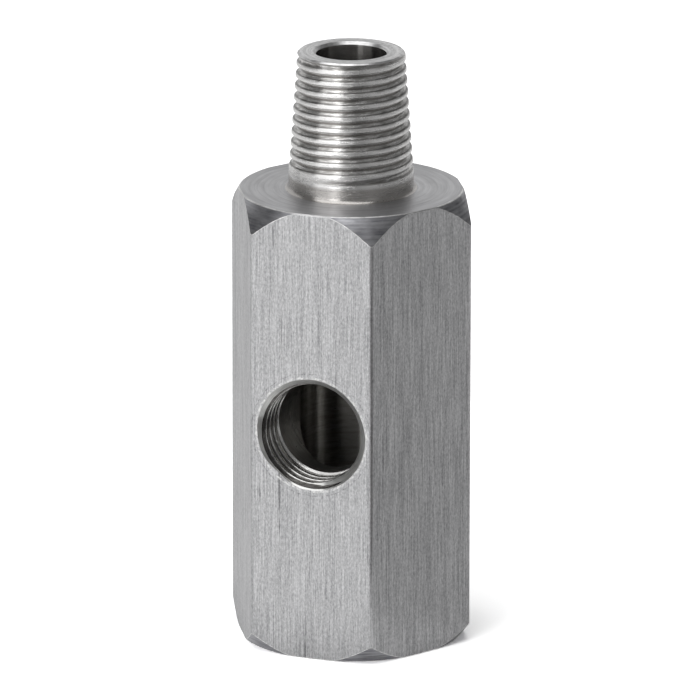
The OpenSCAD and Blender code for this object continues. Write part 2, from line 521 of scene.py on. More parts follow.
@dataclass(frozen=True)
class MaleEnd:
    """The turned shank and the tapered thread that a die cut on it.

    Attributes:
        shoulder: Height of the shoulder that it stands on.
        length: Length above the shoulder.
        shank: Radius of the plain shank.
        fillet: Radius of the fillet at its foot.
        sink: How far the fillet's centre is sunk, so that it leaves a faint line.
        taper: Radius lost in each millimetre of height.
        pitch: Distance between crests.
        depth: Depth of the groove.
        root: Width of the groove's flat bottom.
        soft: How far the crests' edges are softened.
        runout: Height above the shoulder where the groove runs out.
        runout_side: Angle from +X where it runs out, in degrees.
        runout_turn: Part of a turn over which it comes up.
        lead: Radius and height of the lead chamfer.
        rim: Radius of the end face's rounded rim.
        nose: Length below the end face over which the groove fades.
        nose_share: Part of the groove's depth that is lost at the end face.
        bend: Distances from a crest's edge of the rows that draw its bend.
        steps: Columns in one turn.
    """

    shoulder: float = 39.4
    length: float = 12.0
    shank: float = 5.34
    fillet: float = 0.7
    sink: float = 0.03
    taper: float = 0.0705
    pitch: float = 1.0
    depth: float = 0.52
    root: float = 0.1
    soft: float = 0.045
    runout: float = 1.6
    runout_side: float = 236.0
    runout_turn: float = 0.7
    lead: float = 0.2
    rim: float = 0.14
    nose: float = 1.1
    nose_share: float = 0.95
    bend: tuple[float, float] = (0.015, 0.05)
    steps: int = 132

    @property
    def top(self) -> float:
        """Height of the end face."""
        return self.shoulder + self.length

    def cone(self, z: np.ndarray | float) -> np.ndarray:
        """Radius of the cone that the crests lie on, at height z."""
        return self.shank - self.taper * np.maximum(0, z - self.shoulder - self.runout)

    def radius(self, z: np.ndarray, offset: np.ndarray, turn: np.ndarray) -> np.ndarray:
        """Radius of the threaded surface: the cone less the part of the groove that was cut.

        Args:
            z: Heights.
            offset: Offsets from the groove's centre.
            turn: Turns from the run-out.

        Returns:
            The radius at each point.
        """
        share = np.clip(turn / self.runout_turn, 0, 1)
        share = share * (1 - self.nose_share * np.clip((z - self.top + self.nose) / self.nose, 0, 1))
        return self.cone(z) - groove(offset, self.depth, self.root, self.soft) * share

    def facing_tool(self) -> bpy.types.Object:
        """Makes the solid that is cut away above the end face and outside the lead chamfer.

        Returns:
            The closed tool, whose faces leave the faced end's finish.
        """
        end = float(self.cone(self.top)) - self.lead
        wide, inner, above = self.shank + 3, 0.5, 4
        cone = [[wide, self.top + above], [wide, self.top + end - wide]]
        corners = np.array([*cone, [end, self.top], [inner, self.top]])
        profile = rounded(corners, [0, self.rim], [1, 6])[::-1]
        tool = revolved("facing_tool", around(self.steps), profile)
        paint_all(tool, Surface.END)
        return tool

    def build(self) -> bpy.types.Object:
        """Makes the shank, its fillet and the helical thread, and trims the end.

        Returns:
            The closed male end, which reaches into the body below the shoulder.
        """
        turns = math.ceil((self.length - self.runout) / self.pitch) + 2
        start = self.shoulder + self.runout
        helix = Helix(self.pitch, start, math.radians(self.runout_side), turns, self.steps)
        flank, gap = self.depth * math.tan(THREAD_HALF_ANGLE), 0.03
        bottom, crest, half = self.root / 2, self.root / 2 + flank, self.pitch / 2
        near, far = self.bend
        side = [bottom, bottom + gap, bottom + flank / 2, crest - far, crest - near]
        side = np.array([*side, crest + near, crest + far, (crest + half) / 2 + 0.02])
        across = np.concatenate([-side[::-1], [0.0], side, [half]])
        wide, base = self.shank + self.fillet + 0.3, self.shoulder - self.sink
        buried = [[wide, self.shoulder - 1], [wide, base]]
        corners = [*buried, [self.shank, base], [self.shank, start - half - 0.1]]
        foot = rounded(np.array(corners), [0, self.fillet], [1, 10])
        highest = start + self.pitch * (turns + 1)
        head = np.array([[float(self.cone(highest)), highest]])
        end = threaded("male_end", helix, across, self.radius, foot, head)
        paint_all(end, Surface.THREAD)
        combine(end, self.facing_tool(), "DIFFERENCE")
        return end


@dataclass(frozen=True)
class Port:
    """A drilled, countersunk and tapped port, along its own axis into the metal.

    Attributes:
        drill: Radius of the tapping hole.
        depth: Depth of the tapping hole's full diameter.
        point: Angle of the drill's point in degrees, or 0 for a hole that opens into another.
        mouth: Radius of the countersink at the face.
        thread: Radius over the thread at the face.
        thread_depth: Depth at which the last thread fades out.
        exit: Angle at which the thread meets the face, in degrees.
        surfaces: How the hole, the thread and the countersink were made.
        steps: Columns in one turn.
        rows: Rows across one thread.
        aside: How far the tap stood off the hole's axis, along X and Y.
        lead: Length over which the thread fades, in pitches.
        pitch: Distance between threads.
        tip: Width of the flat at the bottom of the thread's groove.
        soft: How far the thread's inner edges are softened.
        taper: Radius lost in each millimetre of depth.
        reach: Turns by which the tap stands out of the face.
        clear: How far the drilled wall stays from the tap's core, so that the two cross cleanly.
        withdrawn: How far the faded end of the tap draws in from the wall.
        rim_round: Radius of the countersink's rim.
        hole_round: Radius where the countersink meets the hole.
        ragged: How far the countersink's rim wanders, on radius.
        dent: Angle in degrees, half width in degrees and depth of the torn part of the rim.
    """

    drill: float
    depth: float
    point: float
    mouth: float
    thread: float
    thread_depth: float
    exit: float
    surfaces: tuple[Surface, Surface, Surface]
    steps: int = 120
    rows: int = 28
    aside: tuple[float, float] = (0.0, 0.0)
    lead: float = 1.2
    pitch: float = 25.4 / 27
    tip: float = 0.1
    soft: float = 0.05
    taper: float = 1 / 32
    reach: float = 2.5
    clear: float = 0.02
    withdrawn: float = 0.6
    rim_round: float = 0.06
    hole_round: float = 0.1
    ragged: float = 0.0
    dent: tuple[float, float, float] = (0.0, 20.0, 0.0)

    def rim(self) -> np.ndarray:
        """Radius of the countersink's rim in each column.

        Three sine waves of 5, 13 and 31 periods wander by a third of ragged each, and the
        torn part is taken off by depth times exp(-(angle / half width)^2).

        Returns:
            The radius at each column's angle.
        """
        a = around(self.steps * 2)
        wander = np.sin(5 * a + 1.0) + np.sin(13 * a + 2.3) + np.sin(31 * a + 4.1)
        side, half_width, depth = self.dent
        away = np.degrees(np.angle(np.exp(1j * (a - math.radians(side)))))
        torn = depth * np.exp(-((away / half_width) ** 2))
        return self.mouth + self.ragged / 3 * wander - torn

    def radius(self, z: np.ndarray, offset: np.ndarray, turn: np.ndarray) -> np.ndarray:
        """Radius of the tap, which leaves the drilled wall standing between its grooves.

        Args:
            z: Depths below the face.
            offset: Offsets from the groove's centre.
            turn: Turns from the tap's outer end.

        Returns:
            The radius at each point.
        """
        core = self.drill + self.clear
        over = self.thread - self.taper * z
        fade = np.clip((self.thread_depth - z) / (self.lead * self.pitch), 0, 1)
        share = np.minimum(fade, np.clip(turn, 0, 1))
        cut = groove(offset, over - core, self.tip, self.soft) * share
        return core + cut - self.withdrawn * (1 - fade)

    def tap(self) -> bpy.types.Object:
        """Makes the solid that the tap cuts away, along +Z with the face at z = 0.

        Returns:
            The closed tool.
        """
        outside = self.reach * self.pitch
        turns = math.ceil((self.thread_depth + outside) / self.pitch) + 1
        phase = math.radians(self.exit) - math.tau * self.reach
        helix = Helix(self.pitch, -outside, phase, turns, self.steps)
        across = np.linspace(-self.pitch / 2, self.pitch / 2, self.rows + 1)[1:]
        core = self.drill - self.clear
        foot = np.array([[core, helix.start - self.pitch]])
        head = np.array([[core, helix.start + self.pitch * (turns + 1)]])
        tool = threaded("tap", helix, across, self.radius, foot, head)
        paint_all(tool, self.surfaces[1])
        return tool

    def drilled(self) -> bpy.types.Object:
        """Makes the solid that the drill and the countersink cut away, face at z = 0.

        Returns:
            The closed tool.
        """
        wide, sunk, rim = self.mouth + 1.5, self.mouth - self.drill, self.rim()
        inner, outside, flare, sharp = 0.5, -2.0, -0.25, 0.02
        pairs = [(inner, outside), (wide, outside), (wide, flare), (rim, 0.0)]
        pairs += [(self.drill, rim - self.drill), (self.drill, self.depth)]
        radii, steps = [0.0, 0.0, self.rim_round, self.hole_round], [1, 1, 4, 3]
        if self.point:
            tip = self.depth + self.drill / math.tan(math.radians(self.point / 2))
            pairs.append((sharp, tip))
            radii, steps = [*radii, self.hole_round], [*steps, 3]
        profile = rounded(columned(pairs), radii, steps)
        tool = revolved("drill", around(self.steps * 2), profile)
        slots = (self.surfaces[2].slot, self.surfaces[0].slot)
        paint(tool, lambda centre, normal: np.where(centre[:, 2] < sunk - self.clear, *slots))
        return tool

    def cut_from(self, body: bpy.types.Object, place: np.ndarray) -> None:
        """Drills, countersinks and taps a body.

        Args:
            body: The solid to cut.
            place: Matrix of shape (3, 4) that carries the port's own axes to the body's.
        """
        for tool, shift in ((self.drilled(), (0.0, 0.0)), (self.tap(), self.aside)):
            points = np.empty(len(tool.data.vertices) * 3)
            tool.data.vertices.foreach_get("co", points)
            points = points.reshape(-1, 3) + np.array([*shift, 0.0])
            points = points @ place[:, :3].T + place[:, 3]
            tool.data.vertices.foreach_set("co", points.ravel())
            tool.data.update()
            combine(body, tool, "DIFFERENCE")


@dataclass(frozen=True)
class Passage:
    """The drilled passage from the end face down to the bottom port's hole.

    Attributes:
        radius: Radius of the passage.
        lip: Width of the chamfer at the end face.
        low: Height at which it starts, inside the bottom port's hole.
        steps: Columns in one turn.
    """

    radius: float = 3.0
    lip: float = 0.25
    low: float = 24.0
    steps: int = 96

    def cut_from(self, body: bpy.types.Object, top: float) -> None:
        """Drills the passage through a body.

        Args:
            body: The solid to cut.
            top: Height of the end face.
        """
        wide, flare, above = self.radius + 1.2, 0.25, 2.0
        rows = [[self.radius, self.low], [self.radius, top - self.lip], [self.radius + self.lip, top]]
        rows += [[wide, top + flare], [wide, top + above]]
        profile = rounded(np.array(rows), [0.06, 0.05, 0.0], [4, 4, 1])
        tool = revolved("passage", around(self.steps), profile)
        slots = (Surface.PASSAGE.slot, Surface.END.slot)
        paint(tool, lambda centre, normal: np.where(centre[:, 2] < top - self.lip, *slots))
        combine(body, tool, "DIFFERENCE")


def bare_material(name: str) -> bpy.types.Material:
    """Makes a material whose node tree is empty.

    Args:
        name: Name of the material.

    Returns:
        The material.
    """
    made = bpy.data.materials.new(name)
    made.use_nodes = True
    made.node_tree.nodes.clear()
    return made


@dataclass(frozen=True)
class Wiring:
    """One node tree, and the patterns that the finishes share in it.

    Attributes:
        tree: The node tree.
        axis: The axis that the surface was worked about.
    """

    tree: bpy.types.NodeTree
    axis: Axis = Axis.BAR

    def add(self, kind: Node, *values: object) -> Socket | None:
        """Adds a node with its settings and links.

        Args:
            kind: The kind of node.
            *values: What its sockets take, in the kind's order. An output is linked, and
                anything else is set as the socket's value.

        Returns:
            The output that the kind names, or None for the last node of a tree.
        """
        name, settings, sockets, output = kind.value
        made = self.tree.nodes.new(name)
        for key, value in settings.items():
            setattr(made, key, value)
        for place, value in zip(sockets, values):
            if isinstance(value, bpy.types.NodeSocket):
                self.tree.links.new(value, made.inputs[place])
            else:
                made.inputs[place].default_value = value
        return None if output is None else made.outputs[output]

    def place(self) -> Socket:
        """Gives the point in millimetres, with the working axis along Z.

        Returns:
            The point.
        """
        turn, shift = (0.0, 0.0, 0.0), (0.0, 0.0, 0.0)
        if self.axis is Axis.SIDE:
            turn, shift = (-math.pi / 2, 0.0, 0.0), (0.0, -SIDE_PORT_Z, 0.0)
        return self.add(Node.TURN, self.add(Node.PLACE), shift, turn, (1 / MM, 1 / MM, 1 / MM))

    def from_axis(self, place: Socket) -> Socket:
        """Gives the part of a point that lies square to the Z axis."""
        return self.add(Node.STRETCH, place, (1.0, 1.0, 0.0))

    def ring(self, around_mm: float, along_mm: float, shift: float = 0.0) -> Socket:
        """Gives a point for marks that run round the axis.

        The direction from the axis gives the way round, and the radius plus the height
        gives the way along, so that the marks follow cylinders, cones and flat faces.

        Args:
            around_mm: Length of a mark.
            along_mm: Width of a mark.
            shift: Moves the pattern, so that two of the same size differ.

        Returns:
            The point to look a pattern up at.
        """
        place = self.place()
        flat = self.from_axis(place)
        along = self.add(Node.ADD, self.add(Node.LENGTH, flat), self.add(Node.HEIGHT, place))
        along = self.add(Node.ADD, self.add(Node.MULTIPLY, along, 1 / along_mm), shift)
        share = MARK_RADIUS / around_mm
        wide = self.add(Node.STRETCH, self.add(Node.UNIT, flat), (share, share, 0.0))
        return self.add(Node.SHIFT, wide, self.add(Node.UPWARD, along))

    def straight(self, across_mm: float, along_mm: float, shift: float = 0.0) -> Socket:
        """Gives a point for marks that run along the bar.

        Args:
            across_mm: Width of a mark.
            along_mm: Length of a mark.
            shift: Moves the pattern, so that two of the same size differ.

        Returns:
            The point to look a pattern up at.
        """
        scaled = self.add(Node.STRETCH, self.place(), (1 / across_mm, 1 / across_mm, 1 / along_mm))
        return self.add(Node.SHIFT, scaled, (shift, shift, shift))

    def across_marks(self, marks: Socket) -> Socket:
        """Gives the direction in the surface that crosses the marks, along which light is drawn out."""
        return self.add(Node.CROSS, marks, self.add(Node.NORMAL))

    def levelled(self, share: Socket) -> Socket:
        """Gives the surface's normal, turned by a share toward straight out from the bar's axis.

        Args:
            share: 0 for the surface's own normal and 1 for straight out.

        Returns:
            The normal.
        """
        out = self.add(Node.UNIT, self.from_axis(self.place()))
        return self.add(Node.UNIT, self.add(Node.BLEND_VECTORS, share, self.add(Node.NORMAL), out))

    def round_marks(self) -> Socket:
        """Gives the direction of marks that run round the axis.

        Returns:
            The direction, of any length.
        """
        spot = self.add(Node.PLACE)
        if self.axis is Axis.BAR:
            return self.add(Node.CROSS, (0.0, 0.0, 1.0), spot)
        middle = self.add(Node.FROM, spot, (0.0, 0.0, SIDE_PORT_Z * MM))
        return self.add(Node.CROSS, (0.0, 1.0, 0.0), middle)


@dataclass(frozen=True)
class SteelFinish:
    """Bright steel with the marks of a lathe tool, a drill or a tap, which run round the axis.

    Attributes:
        surface: The surface that it is on.
        colour: Base colour in sRGB.
        stain: Colour of the darker marks in sRGB.
        roughness: Roughness of the metal.
        spread: How much the roughness varies.
        drawn_out: How far highlights are drawn out across the marks, from 0 to 1.
        mark_mm: Length and width of the tool marks.
        mark_height_mm: Height of the tool marks.
        tear_mm: Length and width of the tears.
        tear_height_mm: Height of the tears.
        contrast: Noise values between which the stain gives way to the colour.
        rough_at: Noise values between which the roughness falls.
        axis: The axis that the surface was worked about.
    """

    surface: Surface
    colour: str
    stain: str
    roughness: float
    spread: float = 0.06
    drawn_out: float = 0.5
    mark_mm: tuple[float, float] = (8.0, 0.12)
    mark_height_mm: float = 0.003
    tear_mm: tuple[float, float] = (1.2, 0.2)
    tear_height_mm: float = 0.0
    contrast: tuple[float, float] = (0.35, 0.65)
    rough_at: tuple[float, float] = (0.3, 0.7)
    axis: Axis = Axis.BAR

    def material(self) -> bpy.types.Material:
        """Builds the finish as a material.

        Returns:
            The material, with marks that follow the way the surface was made.
        """
        made = bare_material(self.surface.value)
        self.wire(Wiring(made.node_tree, self.axis))
        return made

    def patterns(self, w: Wiring) -> tuple[Socket, Socket]:
        """Draws the tool marks and the tears.

        Args:
            w: The material's wiring.

        Returns:
            Noise of the marks and noise of the tears.
        """
        marks = w.add(Node.NOISE, 1.0, w.ring(*self.mark_mm), *MARK_NOISE)
        tears = w.add(Node.NOISE, 1.0, w.ring(*self.tear_mm, shift=7.3), *MARK_NOISE)
        return marks, tears

    def toned(self, w: Wiring, value: Socket) -> Socket:
        """Gives the stain's colour where a noise is low and the base colour where it is high."""
        share = w.add(Node.RAMP, value, *self.contrast)
        return w.add(Node.BLEND, share, srgb(self.stain), srgb(self.colour))

    def wire(self, w: Wiring) -> None:
        """Wires the marks and the tears to the shader.

        Args:
            w: The material's wiring.
        """
        marks, tears = self.patterns(w)
        height = w.add(Node.MULTIPLY, marks, self.mark_height_mm * MM)
        height = w.add(Node.ADD, height, w.add(Node.MULTIPLY, tears, self.tear_height_mm * MM))
        both = w.add(Node.MULTIPLY, w.add(Node.ADD, marks, tears), 0.5)
        self.finish(w, self.toned(w, both), both, height, w.round_marks())

    def finish(
        self,
        w: Wiring,
        colour: Socket,
        worn: Socket,
        height: Socket,
        marks: Socket | tuple[float, float, float],
        normal: Socket | None = None,
    ) -> None:
        """Joins colour, roughness, relief and grain in the metal's shader.

        Args:
            w: The material's wiring.
            colour: Base colour.
            worn: Noise that lowers the roughness where it is high.
            height: Height of the relief in metres.
            marks: Direction of the marks.
            normal: Normal under the relief, where it isn't the surface's own.
        """
        ends = (self.roughness + self.spread, self.roughness - self.spread)
        rough = w.add(Node.RAMP, worn, *self.rough_at, *ends)
        base = () if normal is None else (normal,)
        relief = w.add(Node.RELIEF, height, 1.0, 1.0, *base)
        tangent = w.across_marks(marks)
        w.add(Node.SURFACE, w.add(Node.METAL, colour, 1.0, rough, relief, self.drawn_out, tangent))


@dataclass(frozen=True)
class ThreadFinish(SteelFinish):
    """A cut thread, toned by how deep it lies below the crests, with painted shade in its grooves.

    Attributes:
        crest: Colour of the crests in sRGB.
        root: Colour of the grooves' bottoms in sRGB, a painted shade.
        shade: Colour of the dark line beside each crest in sRGB, a painted shade.
        line: Depth, half width and strength of that line.
        cone: Radius and height of the foot of the crests' cone, and its taper.
        crest_depth: Depths between which the crests end.
        root_depth: Depths between which the bottoms begin.
        ragged: How far tears move the crests' edges.
        plain: Colour below the thread in sRGB, and the heights between which it ends.
        inward: Whether the crests point inward, as in a tapped hole.
        centre: Where the thread's axis lies beside the working axis.
        stepped: How far the torn flanks' normals turn toward straight out.
    """

    contrast: tuple[float, float] = (0.36, 0.64)
    crest: str = "#F4F4F3"
    root: str = "#6E6C69"
    shade: str = "#4A4846"
    line: tuple[float, float, float] = (0.14, 0.1, 0.0)
    cone: tuple[float, float, float] = (5.34, 41.0, 0.0705)
    crest_depth: tuple[float, float] = (0.04, 0.11)
    root_depth: tuple[float, float] = (0.4, 0.5)
    ragged: float = 0.04
    plain: tuple[str, float, float] = ("#F4F4F3", -90.0, -80.0)
    inward: bool = False
    centre: tuple[float, float] = (0.0, 0.0)
    stepped: float = 0.0

    def below_crests(self, w: Wiring) -> Socket:
        """Gives the depth in millimetres below the cone that the crests lie on.

        The cone's radius is its foot's radius less the taper times the height above the
        foot, and the depth is that radius less the point's own distance from the axis.

        Args:
            w: The material's wiring.

        Returns:
            The depth.
        """
        foot_radius, foot_height, taper = self.cone
        place = w.add(Node.FROM, w.place(), (*self.centre, 0.0))
        radius = w.add(Node.LENGTH, w.from_axis(place))
        above = w.add(Node.SUBTRACT, w.add(Node.HEIGHT, place), foot_height)
        lost = w.add(Node.MULTIPLY, w.add(Node.MAXIMUM, above, 0.0), taper)
        cone = w.add(Node.SUBTRACT, foot_radius, lost)
        return w.add(Node.SUBTRACT, *((radius, cone) if self.inward else (cone, radius)))

    def wire(self, w: Wiring) -> None:
        """Wires the bright crests, the torn flanks, and the painted shade of the dark bottoms and of the
        dark line beside each crest.

        Args:
            w: The material's wiring.
        """
        marks, tears = self.patterns(w)
        depth = self.below_crests(w)
        wander = w.add(Node.RAMP, tears, *self.rough_at, -self.ragged, self.ragged)
        ragged = w.add(Node.ADD, depth, wander)
        crest = w.add(Node.RAMP, ragged, *self.crest_depth, 1.0, 0.0)
        # Painted shade: the colour darkens toward the grooves' bottoms
        groove_shade = w.add(Node.RAMP, depth, *self.root_depth)
        colour = w.add(Node.BLEND, groove_shade, self.toned(w, tears), srgb(self.root))
        # Painted shade: a dark line beside each crest
        middle, half, strength = self.line
        off = w.add(Node.ABSOLUTE, w.add(Node.SUBTRACT, ragged, middle))
        line = w.add(Node.RAMP, off, half / 2, half, strength, 0.0)
        colour = w.add(Node.BLEND, line, colour, srgb(self.shade))
        plain, low, high = self.plain
        up = w.add(Node.RAMP, w.add(Node.HEIGHT, w.place()), low, high)
        outer = w.add(Node.BLEND, up, srgb(plain), srgb(self.crest))
        colour = w.add(Node.BLEND, crest, colour, outer)
        flank = w.add(Node.SUBTRACT, 1.0, crest)
        torn = w.add(Node.MULTIPLY, w.add(Node.MULTIPLY, tears, flank), self.tear_height_mm * MM)
        height = w.add(Node.ADD, torn, w.add(Node.MULTIPLY, marks, self.mark_height_mm * MM))
        level = w.levelled(w.add(Node.MULTIPLY, flank, self.stepped)) if self.stepped else None
        self.finish(w, colour, tears, height, w.round_marks(), level)


@dataclass(frozen=True)
class DrawnFinish(SteelFinish):
    """Cold-drawn bar: fine lines along the bar, longer dark scratches, and a burr round the port.

    Attributes:
        scratch: Colour of the scratches in sRGB.
        scratch_height_mm: Depth of the scratches.
        shares: Parts that the fine lines, the grain and the wide bands have in the tone.
        burr: Colour of the burr round the side port in sRGB.
        burr_ring: Radius and width of the burr.
        chatter_ring: Radius and width of the faint dark ring outside it.
    """

    contrast: tuple[float, float] = (0.38, 0.62)
    rough_at: tuple[float, float] = (0.35, 0.65)
    scratch: str = "#4A4A4C"
    scratch_height_mm: float = 0.004
    shares: tuple[float, float, float] = (0.46, 0.42, 0.12)
    burr: str = "#E6E6E4"
    burr_ring: tuple[float, float] = (5.02, 0.11)
    chatter_ring: tuple[float, float] = (5.4, 0.05)

    def ring_mask(self, w: Wiring, ring: tuple[float, float], share: tuple[float, float]) -> Socket:
        """Marks a broken ring round the side port.

        Args:
            w: The material's wiring.
            ring: Radius and half width.
            share: Noise values between which the ring breaks off.

        Returns:
            1 on the ring and 0 off it.
        """
        middle, half = ring
        wobble_mm, detail, roughness = 0.06, 3.0, 0.7
        port = Wiring(w.tree, Axis.SIDE)
        place = port.place()
        radius = port.add(Node.LENGTH, port.from_axis(place))
        wobble = w.add(Node.NOISE, 1.0, port.ring(0.5, 40.0), detail, roughness)
        wobble = w.add(Node.RAMP, wobble, 0.3, 0.7, -wobble_mm, wobble_mm)
        off = w.add(Node.SUBTRACT, w.add(Node.ADD, radius, wobble), middle)
        band = w.add(Node.RAMP, w.add(Node.ABSOLUTE, off), half * 0.6, half, 1.0, 0.0)
        front = w.add(Node.GREATER, w.add(Node.HEIGHT, place), 0.0)
        broken = w.add(Node.NOISE, 1.0, port.ring(0.3, 0.25, 3.1), detail, roughness)
        broken = w.add(Node.RAMP, broken, *share)
        return w.add(Node.MULTIPLY, w.add(Node.MULTIPLY, band, front), broken)

    def wire(self, w: Wiring) -> None:
        """Wires the drawn lines, the scratches, the grain and the burr.

        Args:
            w: The material's wiring.
        """
        length, width = self.mark_mm
        fine = w.add(Node.NOISE, 1.0, w.straight(width, length), *MARK_NOISE)
        grain = w.add(Node.NOISE, 1.0, w.straight(0.12, 0.3, 9.0), 2.0, 0.8)
        wide = w.add(Node.NOISE, 1.0, w.straight(0.5, 24.0, 5.0), 2.0, 0.5)
        lines = w.add(Node.NOISE, 1.0, w.straight(0.22, 12.0, 2.7), 1.0, 0.5)
        stops = w.add(Node.NOISE, 1.0, w.straight(1.6, 3.5, 4.1), 1.0, 0.5)
        lines = w.add(Node.RAMP, lines, 0.71, 0.75)
        scratched = w.add(Node.MULTIPLY, lines, w.add(Node.RAMP, stops, 0.48, 0.54, 0.0, 0.6))
        parts = [w.add(Node.MULTIPLY, *pair) for pair in zip((fine, grain, wide), self.shares)]
        mixed = w.add(Node.ADD, w.add(Node.ADD, parts[0], parts[1]), parts[2])
        colour = w.add(Node.BLEND, scratched, self.toned(w, mixed), srgb(self.scratch))
        chatter = w.add(Node.MULTIPLY, self.ring_mask(w, self.chatter_ring, (0.45, 0.6)), 0.5)
        colour = w.add(Node.BLEND, chatter, colour, srgb(self.scratch))
        burr = self.ring_mask(w, self.burr_ring, (0.42, 0.64))
        colour = w.add(Node.BLEND, burr, colour, srgb(self.burr))
        scored = w.add(Node.MULTIPLY, scratched, self.scratch_height_mm * MM)
        height = w.add(Node.MULTIPLY, mixed, self.mark_height_mm * MM)
        height = w.add(Node.SUBTRACT, height, scored)
        self.finish(w, colour, mixed, height, (0.0, 0.0, 1.0))


# Long, faint marks that a drill leaves, which the passage and both ports' holes share
DRILLED = {"mark_mm": (9.0, 0.2), "mark_height_mm": 0.001}

FINISHES = (
    # Drawn flats print light grey with fine upright lines
    DrawnFinish(
        Surface.DRAWN, "#D6D6D7", "#939395", 0.37, drawn_out=0.4, mark_mm=(4.5, 0.1), mark_height_mm=0.009
    ),
    # Burred edges catch the light as thin bright lines
    SteelFinish(Surface.EDGE, "#FFFFFE", "#B4B4B4", 0.5, tear_mm=(0.4, 0.3), tear_height_mm=0.012),
    # Chamfers look into the dark room and show torn tool marks
    SteelFinish(
        Surface.CHAMFER, "#C6C6CA", "#77777C", 0.33, mark_height_mm=0.004, tear_mm=(0.9, 0.2),
        tear_height_mm=0.012,
    ),
    # The shoulder is an even, matt light grey
    SteelFinish(
        Surface.SHOULDER, "#C9C9CB", "#ABABAD", 0.39, mark_mm=(9.0, 0.14), mark_height_mm=0.002,
        tear_mm=(2.4, 0.6), tear_height_mm=0.006,
    ),
    # The male thread shows bright crests and torn grey flanks, with painted shade in the dark line beside
    # each crest and in the grooves' bottoms
    ThreadFinish(
        Surface.THREAD, "#F4F3F2", "#ABA9A6", 0.28, spread=0.03, drawn_out=0.92,
        mark_mm=(5.0, 0.07), mark_height_mm=0.012, tear_mm=(1.1, 0.07), tear_height_mm=0.036,
        crest="#ECEBEA", root="#8C8986", crest_depth=(0.01, 0.05), ragged=0.02,
        plain=("#BEBBB8", 40.45, 40.75), stepped=0.62, line=(0.13, 0.09, 0.6),
    ),
    # The end face shows rings from facing, and its rim is torn
    SteelFinish(
        Surface.END, "#F2F2F2", "#ABABAB", 0.34, mark_mm=(10.0, 0.12), mark_height_mm=0.004,
        tear_mm=(0.6, 0.12), tear_height_mm=0.012,
    ),
    # The passage is dark, with painted shade in its darker colour, and one bright streak along the axis
    SteelFinish(Surface.PASSAGE, "#A7A5A3", "#817F7C", 0.22, spread=0.03, drawn_out=1.0, **DRILLED),
    # The bottom port's hole is dark, with painted shade in its darker colour, and with highlights drawn
    # out along the axis
    SteelFinish(Surface.BORE, "#B6B5B3", "#97958F", 0.3, spread=0.03, drawn_out=1.0, **DRILLED),
    # The bottom port's thread shows torn, shiny ridges
    SteelFinish(Surface.TAPPED, "#BCBBB9", "#8B8987", 0.26, tear_mm=(1.0, 0.2), tear_height_mm=0.01),
    # The side port's hole is dull, and its dark grey colour is painted shade
    SteelFinish(Surface.SIDE_BORE, "#A9A8A6", "#8A8886", 0.32, drawn_out=0.6, axis=Axis.SIDE, **DRILLED),
    # The side port's thread shows bright lands between torn grooves, whose dark colours are painted shade
    ThreadFinish(
        Surface.SIDE_TAPPED, "#777573", "#3C3A38", 0.22, mark_height_mm=0.001, tear_mm=(0.5, 0.14),
        tear_height_mm=0.01, axis=Axis.SIDE, crest="#DEDDDB", root="#3A3937", cone=(4.27, 99.0, 0.0),
        crest_depth=(0.03, 0.12), root_depth=(0.3, 0.5), inward=True, centre=(-0.06, -0.1),
    ),
    # The countersink is as light as the flat it opens
    SteelFinish(
        Surface.SIDE_SINK, "#E8E8E6", "#BCBCBA", 0.34, mark_mm=(9.0, 0.12), mark_height_mm=0.002,
        axis=Axis.SIDE,
    ),
)


def part_surfaces(mesh: bpy.types.Mesh, first: Surface, others: tuple[Surface, ...]) -> None:
    """Keeps the edges sharp where one surface meets others, so that a flat face stays flat.

    For each edge, the least and the greatest slot of the faces beside it are found, and the
    edge is sharp where one of them is the first surface and the other is one of the others.

    Args:
        mesh: The mesh.
        first: The surface that keeps its own normals.
        others: The surfaces that it meets.
    """
    edge_of = np.empty(len(mesh.loops), np.int32)
    slot_of, sizes = np.empty(len(mesh.polygons), np.int32), np.empty(len(mesh.polygons), np.int32)
    mesh.loops.foreach_get("edge_index", edge_of)
    mesh.polygons.foreach_get("material_index", slot_of)
    mesh.polygons.foreach_get("loop_total", sizes)
    slots = np.repeat(slot_of, sizes)
    least = np.full(len(mesh.edges), len(Surface))
    greatest = np.full(len(mesh.edges), -1)
    np.minimum.at(least, edge_of, slots)
    np.maximum.at(greatest, edge_of, slots)
    numbers = [other.slot for other in others]
    meets = (least == first.slot) & np.isin(greatest, numbers)
    meets |= (greatest == first.slot) & np.isin(least, numbers)
    sharp = np.empty(len(mesh.edges), bool)
    mesh.edges.foreach_get("use_edge_sharp", sharp)
    mesh.edges.foreach_set("use_edge_sharp", sharp | meets)


BOTTOM_PORT = Port(
    drill=4.35,
    depth=26.0,
    point=118.0,
    mouth=5.2,
    thread=5.1,
    thread_depth=13.9,
    exit=220.0,
    surfaces=(Surface.BORE, Surface.TAPPED, Surface.SHOULDER),
    steps=84,
    rows=14,
    lead=2.0,
)
SIDE_PORT = Port(
    drill=4.25,
    depth=9.5,
    point=0.0,
    mouth=4.91,
    thread=4.74,
    thread_depth=4.1,
    exit=14.0,
    surfaces=(Surface.SIDE_BORE, Surface.SIDE_TAPPED, Surface.SIDE_SINK),
    aside=(-0.06, 0.1),
    ragged=0.02,
    dent=(130.0, 16.0, 0.22),
)


